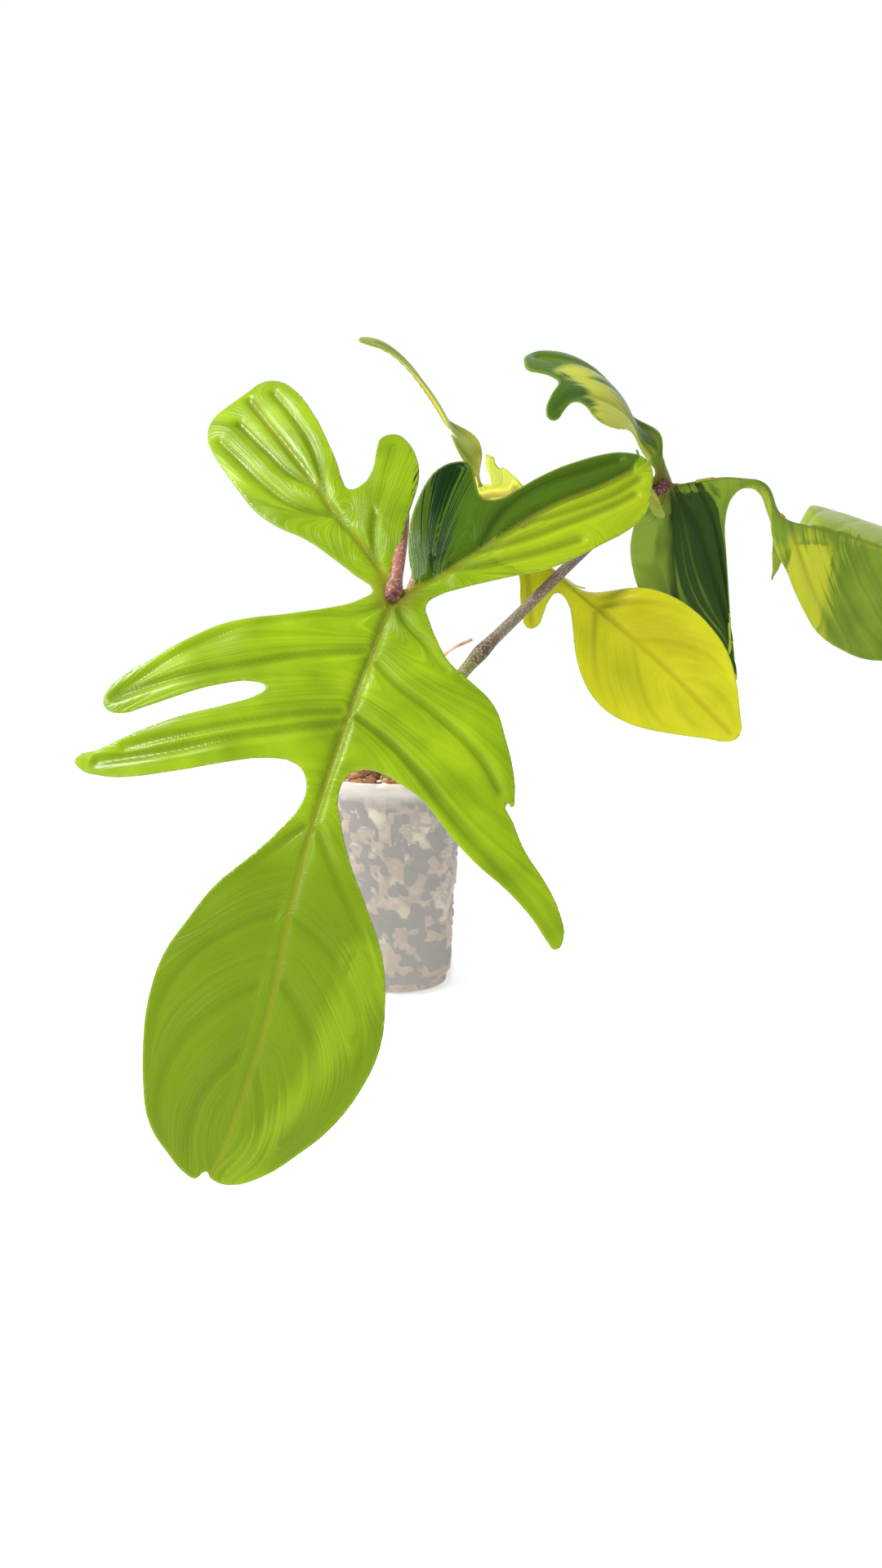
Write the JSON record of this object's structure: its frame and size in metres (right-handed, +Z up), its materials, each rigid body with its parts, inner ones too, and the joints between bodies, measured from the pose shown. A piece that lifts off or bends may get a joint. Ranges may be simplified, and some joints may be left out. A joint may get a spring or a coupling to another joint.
{
  "type": "potted philodendron",
  "caption": "Young lobed-leaf philodendron in a small clear pot: yellow-green and variegated blades on arching reddish leaf stalks, rising from a short stem in chunky bark mix.",
  "frame": {"origin": "middle of the pot's foot, on the surface that it stands on", "axes": "+Z up; the whole front leaf hangs towards -Y, and the variegated leaf reaches out towards +X"},
  "size_m": [0.4851, 0.4036, 0.3561],
  "materials": {
    "pot": "slightly frosted, clear",
    "potting_mix": "rough bark and pumice",
    "stem": "matte, living tissue",
    "petiole": "matte, finely warty",
    "sheath": "dry, thin",
    "leaf_front": "glossy, ribbed",
    "leaf_rear": "glossy, ribbed",
    "leaf_right": "glossy, ribbed"
  },
  "bodies": {
    "root": {"pot": "pot", "potting_mix": "potting_mix", "stem": "stem", "petiole_front": "petiole", "petiole_rear": "petiole", "petiole_right": "petiole", "leaf_sheath": "sheath", "leaf_front": "leaf_front", "leaf_rear": "leaf_rear", "leaf_right": "leaf_right"}
  },
  "joints": []
}
